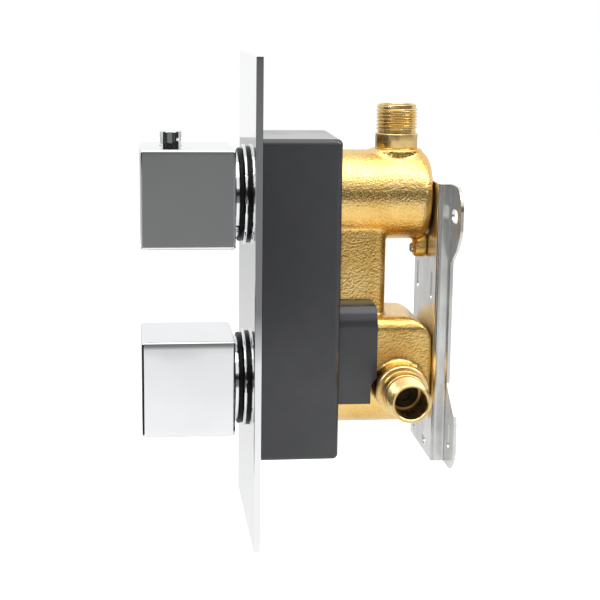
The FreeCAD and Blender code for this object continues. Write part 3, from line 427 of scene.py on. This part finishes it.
def makeZinc(name, stretch):
    look = zincLook
    material, tree, shader = startMaterial(name, {"Metallic": 1.0})
    lines = addGroup(tree, drawnLines, objectVector(tree, stretch), Fineness=look["fineness"])
    marks = addGroup(tree, handling, objectVector(tree), Smear_scale=look["smearScale"])
    tone = weightedSum(tree, lines.outputs["Streaks"], look["streaks"],
                       marks.outputs["Smears"], look["smears"])
    addFinish(tree, shader, look, tone, tone)
    addBump(tree, shader, look, lines.outputs["Height"])
    return material


guardLook = {"smearScale": 16.0, "mouldScale": 1900.0, "specks": 0.35,
             "stops": [(0.0, (0.036, 0.037, 0.040)), (1.0, (0.048, 0.049, 0.053))],
             "wearRange": (0.0, 1.0), "roughness": (0.20, 0.10), "bumpDepth": 0.00002, "bumpStrength": 0.3}


def makeGuardPlastic():
    look = guardLook
    material, tree, shader = startMaterial("guardPlastic", {"IOR": 1.52, "Specular IOR Level": 0.5})
    vector = objectVector(tree)
    marks = addGroup(tree, handling, vector, Smear_scale=look["smearScale"])
    mould = noiseNode(tree, vector, look["mouldScale"], detail=2.0, roughness=0.5)
    addFinish(tree, shader, look, marks.outputs["Smears"], marks.outputs["Smears"])
    height = mathNode(tree, "MULTIPLY_ADD", marks.outputs["Specks"], look["specks"], mould)
    addBump(tree, shader, look, height)
    return material


plainGrain = {"smearScale": 90.0, "mouldScale": 900.0, "wearRange": (0.0, 1.0),
              "bumpDepth": 0.00003, "bumpStrength": 0.4}
plainLooks = {
    "blackRubber": {"stops": [(0.0, (0.002, 0.002, 0.002)), (1.0, (0.006, 0.006, 0.006))],
                    "roughness": (0.28, 0.42), "metallic": 0.0, "specular": 0.12},
    "blackPlastic": {"stops": [(0.0, (0.022, 0.014, 0.008)), (1.0, (0.034, 0.021, 0.011))],
                     "roughness": (0.3, 0.45), "metallic": 0.0, "specular": 0.3},
    "whitePlastic": {"stops": [(0.0, (0.72, 0.72, 0.69)), (1.0, (0.80, 0.80, 0.78))],
                     "roughness": (0.3, 0.42), "metallic": 0.0, "specular": 0.5},
    "springWire": {"stops": [(0.0, (0.55, 0.56, 0.57)), (1.0, (0.70, 0.71, 0.72))],
                   "roughness": (0.2, 0.32), "metallic": 1.0, "specular": 0.5},
    "meshSteel": {"stops": [(0.0, (0.50, 0.51, 0.52)), (1.0, (0.62, 0.63, 0.64))],
                  "roughness": (0.25, 0.4), "metallic": 1.0, "specular": 0.5},
    "ceramic": {"stops": [(0.0, (0.80, 0.79, 0.74)), (1.0, (0.86, 0.85, 0.81))],
                "roughness": (0.12, 0.2), "metallic": 0.0, "specular": 0.5},
}


def makePlain(name):
    # small inner pieces: two near tones, a little grain
    look = {**plainGrain, **plainLooks[name]}
    material, tree, shader = startMaterial(name, {"Metallic": look["metallic"],
                                                  "Specular IOR Level": look["specular"]})
    vector = objectVector(tree)
    marks = addGroup(tree, handling, vector, Smear_scale=look["smearScale"])
    mould = noiseNode(tree, vector, look["mouldScale"], detail=2.0, roughness=0.5)
    addFinish(tree, shader, look, marks.outputs["Smears"], marks.outputs["Smears"])
    addBump(tree, shader, look, mould)
    return material


castBrass = makeCastBrass()
turnedUp = makeTurnedBrass("turnedBrassUp", (0.02, 0.02, 1))
turnedAcross = makeTurnedBrass("turnedBrassAcross", (1, 0.02, 0.02))
turnedOut = makeTurnedBrass("turnedBrassOut", (0.02, 1, 0.02))
chrome = makeChrome("chromePlate")[0]
upperChrome = makeGripChrome("upperGripChrome", "temperature_handle")
lowerChrome = makeGripChrome("lowerGripChrome", "flow_handle")
zincSheet = makeZinc("zincSheet", (1, 1, 0.04))
zincScrew = makeZinc("zincScrew", (1, 1, 1))
guardPlastic = makeGuardPlastic()
plain = {name: makePlain(name) for name in plainLooks}
print("materials made")

slotMaterials = {
    "zinc_plated": zincSheet, "screw_steel": zincScrew, "cast_brass": castBrass, "turned_brass": turnedOut,
    "guard_plastic": guardPlastic, "chrome_plate": chrome, "black_rubber": plain["blackRubber"],
    "white_plastic": plain["whitePlastic"], "spring_steel": plain["springWire"],
    "mesh_steel": plain["meshSteel"], "ceramic": plain["ceramic"],
}
for part in frame["record"]["subparts"]:
    giveMaterial(nodes[part["node"]], slotMaterials[part["material_slot"]])
for name in ("check_bodies", "cold_poppet", "hot_poppet"):
    giveMaterial(nodes[name], plain["blackPlastic"])
giveMaterial(nodes["temperature_handle"], upperChrome)
giveMaterial(nodes["flow_handle"], lowerChrome)
print("nodes given their materials")


cameraView = {"at": (0.7372, -0.1617, 0.09766), "yaw": 6.786, "down": 11.185, "roll": 0.715, "lens": 86.69,
              "sensor": 36, "near": 0.01, "far": 50}


def makeCamera():
    view = cameraView
    yaw, down, roll = (math.radians(view[key]) for key in ("yaw", "down", "roll"))
    forward = Vector((-math.cos(down) * math.cos(yaw), math.cos(down) * math.sin(yaw), -math.sin(down)))
    right = forward.cross(Vector((0, 0, 1))).normalized()
    up = right.cross(forward)
    turnedRight = math.cos(roll) * right + math.sin(roll) * up
    turnedUpward = math.cos(roll) * up - math.sin(roll) * right
    rotation = Matrix((turnedRight, turnedUpward, -forward)).transposed()
    bpy.ops.object.camera_add(location=view["at"], rotation=rotation.to_euler())
    camera = bpy.context.object
    camera.name = "photoCamera"
    camera.data.lens = view["lens"]
    camera.data.sensor_width = view["sensor"]
    camera.data.clip_start = view["near"]
    camera.data.clip_end = view["far"]
    bpy.context.scene.camera = camera


makeCamera()
print("camera placed")


worldLook = {"fill": 0.62}  # the light on the object, where 1 is the white that the camera sees


def makeWorld():
    world = bpy.data.worlds.new("studio")
    bpy.context.scene.world = world
    world.use_nodes = True
    tree = world.node_tree
    background = tree.nodes["Background"]
    background.inputs["Color"].default_value = (1, 1, 1, 1)
    path = tree.nodes.new("ShaderNodeLightPath")
    seen = mathNode(tree, "MAXIMUM", path.outputs["Is Camera Ray"], path.outputs["Is Glossy Ray"])
    seen = mathNode(tree, "MAXIMUM", seen, path.outputs["Is Transmission Ray"])
    strength = rangeNode(tree, seen, 0.0, 1.0, worldLook["fill"], 1.0)
    tree.links.new(strength, background.inputs["Strength"])


# the camera sees the floor's glow, and mirrored is how much of it metal and glass see: none
floorLook = {"size": 8.0, "height": -0.30, "colour": (0.88, 0.88, 0.88), "roughness": 0.9,
             "glow": 0.6, "mirrored": 0.0}


def makeFloor():
    look = floorLook
    deselectAll()
    bpy.ops.mesh.primitive_plane_add(size=look["size"], location=(0, 0, look["height"]))
    floor = bpy.context.object
    floor.name = "paleFloor"
    material, tree, shader = startMaterial("paleFloor", {"Roughness": look["roughness"],
                                                         "Base Color": (*look["colour"], 1),
                                                         "Emission Color": (1, 1, 1, 1)})
    path = tree.nodes.new("ShaderNodeLightPath")
    mirrored = mathNode(tree, "MAXIMUM", path.outputs["Is Glossy Ray"], path.outputs["Is Transmission Ray"])
    glow = mathNode(tree, "MULTIPLY", mirrored, look["mirrored"])
    glow = mathNode(tree, "MULTIPLY_ADD", path.outputs["Is Camera Ray"], look["glow"], glow)
    tree.links.new(glow, shader.inputs["Emission Strength"])
    giveMaterial(floor, material)


def onlyInReflections(obj, name, stops):
    # a flag that only reflections see, as a studio uses on polished metal; its shade follows its height
    material = bpy.data.materials.new(name)
    material.use_nodes = True
    tree = material.node_tree
    tree.nodes.remove(tree.nodes["Principled BSDF"])
    coordinates = tree.nodes.new("ShaderNodeTexCoord")
    height = tree.nodes.new("ShaderNodeSeparateXYZ")
    tree.links.new(coordinates.outputs["Object"], height.inputs[0])
    glow = tree.nodes.new("ShaderNodeEmission")
    low, high = stops[0][0], stops[-1][0]
    shades = [((rise - low) / (high - low), (shade, shade, shade)) for rise, shade in stops]
    level = rangeNode(tree, height.outputs["Z"], low, high)
    tree.links.new(colourRamp(tree, level, shades), glow.inputs["Color"])
    tree.links.new(glow.outputs[0], tree.nodes["Material Output"].inputs["Surface"])
    obj.name = name
    obj.data.materials.append(material)
    for ray in ("camera", "diffuse", "shadow", "transmission"):
        setattr(obj, "visible_" + ray, False)
    activate(obj)
    bakePlace()


def makeRoundWall(name, look, foot, height, cuts):
    # an open upright wall round the object, of which each cut takes a side away
    deselectAll()
    bpy.ops.mesh.primitive_cylinder_add(vertices=look["segments"], radius=look["radius"], depth=height,
                                        end_fill_type="NOTHING", location=(0, look["at"], foot + height / 2))
    wall = bpy.context.object
    startEditing()
    for point, normal in cuts:
        bpy.ops.mesh.select_all(action="SELECT")
        bpy.ops.mesh.bisect(plane_co=point, plane_no=normal, clear_inner=True)
    stopEditing()
    onlyInReflections(wall, name, look["shades"])


def makeCard(name, look, foot, height, turn):
    deselectAll()
    across, out = look["at"]
    bpy.ops.mesh.primitive_plane_add(size=1, location=(across, out, foot + height / 2),
                                     rotation=(math.pi / 2, 0, turn))
    card = bpy.context.object
    card.scale = (look["width"], height, 1)
    onlyInReflections(card, name, look["shades"])


# shades are (height, shade) pairs; all but the dark room stand on the floor
floorLevel = floorLook["height"]
darkRoom = {"radius": 1.6, "segments": 64, "at": 0, "foot": -0.13, "top": 0.62, "openBehind": -0.1,
            "shades": [(-0.13, 0.05), (0.1, 0.02), (0.35, 0.03), (0.62, 0.3)]}
# the table end's grey is painted shade, and its pale foot is a painted reflection of the lit floor
shadedTableEnd = {"at": (1.0, -0.40), "width": 1.0, "top": 0.05,
            "shades": [(floorLevel, 0.8), (floorLevel + 0.055, 0.23), (-0.045, 0.20), (0.05, 0.14)]}
sideFlag = {"at": (0.62, -1.0), "width": 0.3, "height": 1,
            "shades": [(floorLevel, 0.05), (floorLevel + 1, 0.02)]}
sideCurb = {"radius": 0.55, "segments": 96, "at": -0.13, "height": 0.16, "from": 28, "to": 150,
            "shades": [(floorLevel, 0.04), (floorLevel + 0.16, 0.02)]}


def makeRoom():
    # the dark room on the camera's side, and in front of it a card of painted shade for the shadowed far end
    # of the table
    room, table, flag, curb = darkRoom, shadedTableEnd, sideFlag, sideCurb
    makeRoundWall("darkRoom", room, room["foot"], room["top"] - room["foot"],
                  [((room["openBehind"], 0, 0), (1, 0, 0))])
    makeCard("shadedTableEnd", table, floorLevel, table["top"] - floorLevel, math.pi / 2)
    across, out = flag["at"]
    makeCard("sideFlag", flag, floorLevel, flag["height"], math.atan2(across, -out))
    # a low dark curb on the handles' side draws their front edges
    cuts = []
    for degrees, side in ((curb["from"], 1), (curb["to"], -1)):
        angle = math.radians(degrees)
        cuts.append(((0, curb["at"], 0), (-math.sin(angle) * side, -math.cos(angle) * side, 0)))
    makeRoundWall("sideCurb", curb, floorLevel, curb["height"], cuts)


# square soft lamps: metres across and watts
lamps = {
    "overhead": {"at": (0.25, -0.1, 1.1), "aim": (0, -0.08, -0.04), "size": 1.0, "power": 6},
    "frontSoft": {"at": (0.7, -1.0, 0.55), "aim": (0, -0.1, -0.04), "size": 0.5, "power": 5},
    "backSoft": {"at": (0.45, 0.95, 0.8), "aim": (0, -0.05, -0.04), "size": 0.45, "power": 4},
    "keySoft": {"at": (0.55, 0.45, 0.95), "aim": (0, -0.05, -0.04), "size": 0.22, "power": 2},
}


def makeLamp(name, at, aim, size, power):
    deselectAll()
    bpy.ops.object.light_add(type="AREA", location=at)
    lamp = bpy.context.object
    lamp.name = name
    lamp.data.shape = "RECTANGLE"
    lamp.data.size = lamp.data.size_y = size
    lamp.data.energy = power
    lamp.rotation_mode = "QUATERNION"
    lamp.rotation_quaternion = (Vector(aim) - Vector(at)).to_track_quat("-Z", "Y")


makeWorld()
makeFloor()
makeRoom()
for name, values in lamps.items():
    makeLamp(name, **values)
print("stage and light made")


castBody = {"voxel": 0.00095, "smoothing": 4, "smoothShare": 0.5, "lump": 0.0016, "lumpDetail": 2,
            "depth": 0.00012, "midLevel": 0.5}


def makeCastBody():
    # the casting with its sand skin
    size = castBody
    piece = copyOfNode("valve_body", "castBody")
    applyModifier(piece, "REMESH", mode="VOXEL", voxel_size=size["voxel"], use_smooth_shade=True)
    applyModifier(piece, "SMOOTH", factor=size["smoothShare"], iterations=size["smoothing"])
    lumps = bpy.data.textures.new("castLumps", "CLOUDS")
    lumps.noise_scale = size["lump"]
    lumps.noise_depth = size["lumpDetail"]
    applyModifier(piece, "DISPLACE", texture=lumps, strength=size["depth"], mid_level=size["midLevel"])
    activate(piece)
    bpy.ops.object.shade_smooth()
    giveMaterial(piece, castBrass)
    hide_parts("valve_body")
    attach(piece, "valve")
    print("cast body:", len(piece.data.polygons), "faces")


makeCastBody()


# threaded pipe ends, in millimetres; steps are those of one turn of the thread
pipeThread = {"radius": 10.4775, "root": 9.75, "pitch": 1.814, "turns": 8, "crest": 0.50, "foot": 1.70,
              "sunk": 0.15, "gap": 0.15, "steps": 72}
pipeEnd = {"bore": 8.15, "mouthRadius": 9.7, "mouthBevel": 0.45, "mouthEdge": 0.35, "mouthDrop": 0.4,
           "lead": 0.35, "runOut": 0.25, "neckRadius": 10.95, "neckLength": 7.8, "neckBevel": 0.3,
           "seatRise": 0.35, "seatBevel": 0.2, "tailRadius": 9.6, "tailLength": 11.0, "tailBore": 7.6,
           "smoothAngle": 35}
pipeFlange = {"radius": 13.4, "height": 3.6, "bevel": 0.4, "groove": (1.3, 1.5, 1.9, 2.1),
              "grooveDepth": 0.45, "seatBevel": 0.35, "neckRise": 0.5, "neckFlare": 0.3}
checkSeat = {"mouth": 6.2, "start": 1.5, "end": 16.0}
pipeEnds = {
    "outletEnd": {"node": "outlet_nipple", "hasFlange": False, "along": (0, 0, 1), "at": (0, -25.0, 30.5),
                  "material": turnedUp},
    "coldEnd": {"node": "cold_nipple", "hasFlange": True, "along": (1, 0, 0), "at": (33.3, -25.0, -90.2),
                "material": turnedAcross},
    "hotEnd": {"node": "hot_nipple", "hasFlange": True, "along": (-1, 0, 0), "at": (-33.3, -25.0, -90.2),
               "material": turnedAcross},
}


def makeThread(name, start, length):
    # one closed ridge screwed round the pipe; it sinks into the pipe over its first and last half turn
    size = pipeThread
    deselectAll()
    bpy.ops.mesh.primitive_plane_add(size=1)
    ridge = bpy.context.object
    ridge.name = name
    inside = (size["root"] - size["sunk"]) * millimetre
    outside = size["radius"] * millimetre
    foot = size["foot"] / 2 * millimetre
    crest = size["crest"] / 2 * millimetre
    corners = [(inside, -foot), (outside, -crest), (inside, foot), (outside, crest)]
    low = start * millimetre + foot
    turns = (length * millimetre - 2 * foot) / (size["pitch"] * millimetre)
    for vertex, (across, along) in zip(ridge.data.vertices, corners):
        vertex.co = (across, 0, low + along)
    steps = round(size["steps"] * turns)
    applyModifier(ridge, "SCREW", axis="Z", angle=2 * math.pi * turns,
                  screw_offset=turns * size["pitch"] * millimetre, steps=steps, render_steps=steps)
    for index, vertex in enumerate(ridge.data.vertices):
        step = index // len(corners)
        rise = min(1, 2 * step / size["steps"], 2 * (steps - step) / size["steps"])
        across = vertex.co.xy.length
        if across > (inside + outside) / 2:
            vertex.co.xy *= (inside + (outside - inside) * rise) / across
    activate(ridge)
    startEditing()
    bpy.ops.mesh.normals_make_consistent(inside=False)
    stopEditing()
    return ridge


def makePipeEnd(name, node, hasFlange, along, at, material):
    end, thread, flange, check = pipeEnd, pipeThread, pipeFlange, checkSeat
    base = flange["height"] if hasFlange else 0.0
    neckTop = base + end["neckLength"]
    mouth = neckTop + thread["turns"] * thread["pitch"] + end["lead"]
    bore, root, neck, bevel = end["bore"], thread["root"], end["neckRadius"], end["neckBevel"]
    tailBore, tail = end["tailBore"], -end["tailLength"]
    profile = [(bore, mouth - end["mouthBevel"]), (bore + end["mouthBevel"], mouth),
               (end["mouthRadius"] - end["mouthEdge"], mouth), (root, mouth - end["mouthDrop"]),
               (root, neckTop + end["runOut"]), (root, neckTop),
               (neck - bevel, neckTop), (neck, neckTop - bevel)]
    if hasFlange:
        wide, deep = flange["radius"], flange["radius"] - flange["grooveDepth"]
        top, floorTop, floorFoot, foot = (base - depth for depth in flange["groove"])
        checkLow, checkHigh = tail + check["start"], tail + check["end"]
        outside = [(neck, base + flange["neckRise"]), (neck + flange["neckFlare"], base),
                   (wide - flange["bevel"], base), (wide, base - flange["bevel"]),
                   (wide, top), (deep, floorTop), (deep, floorFoot), (wide, foot),
                   (wide, flange["seatBevel"]), (wide - flange["seatBevel"], 0.0)]
        inside = [(check["mouth"], tail), (check["mouth"], checkLow), (tailBore, checkLow),
                  (tailBore, checkHigh), (bore, checkHigh)]
    else:
        outside = [(neck, end["seatRise"]), (neck - end["seatBevel"], 0.0)]
        inside = [(tailBore, tail), (tailBore, 0.0), (bore, 0.0)]
    profile += outside + [(end["tailRadius"], 0.0), (end["tailRadius"], tail)] + inside
    core = turnPiece(name, profile)
    ridge = makeThread(name + "Ridge", neckTop + thread["gap"], mouth - neckTop - 2 * thread["gap"])
    piece = joinPieces([core, ridge], name)
    place(piece, along, [value * millimetre for value in at])
    giveMaterial(piece, material)
    smoothByAngle(piece, end["smoothAngle"])
    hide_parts(node)
    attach(piece, "valve")
    print(name + ":", len(piece.data.polygons), "faces")


for name, values in pipeEnds.items():
    makePipeEnd(name, **values)


# springs: the axis is 0, 1 or 2 for X, Y or Z, fixedEnd is 0 for the low
# end of the node along it or 1 for the high one, and travel is in metres
springs = {
    "pressedSpring": {"node": "button_spring", "body": "temperature_knob", "joint": "button_press",
                      "axis": 2, "fixedEnd": 0, "travel": 0.0025},
    "coldSpring": {"node": "cold_check_spring", "body": "valve", "joint": "cold_check_lift",
                   "axis": 0, "fixedEnd": 0, "travel": 0.003},
    "hotSpring": {"node": "hot_check_spring", "body": "valve", "joint": "hot_check_lift",
                  "axis": 0, "fixedEnd": 1, "travel": 0.003},
    "slideSpring": {"node": "return_spring", "body": "valve", "joint": "thermostat_slide",
                    "axis": 1, "fixedEnd": 1, "travel": 0.0008},
}


def makeSpring(name, node, body, joint, axis, fixedEnd, travel):
    piece = copyOfNode(node, name)
    giveMaterial(piece, plain["springWire"])
    smoothByAngle(piece, edgeAngle)
    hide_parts(node)
    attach(piece, body)
    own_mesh(piece)


for name, values in springs.items():
    makeSpring(name, **values)
print("springs made")


# smooth edges of the CAD nodes that stay
for node in nodes.values():
    smoothByAngle(node, edgeAngle)
print("nodes smoothed")

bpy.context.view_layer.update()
deselectAll()
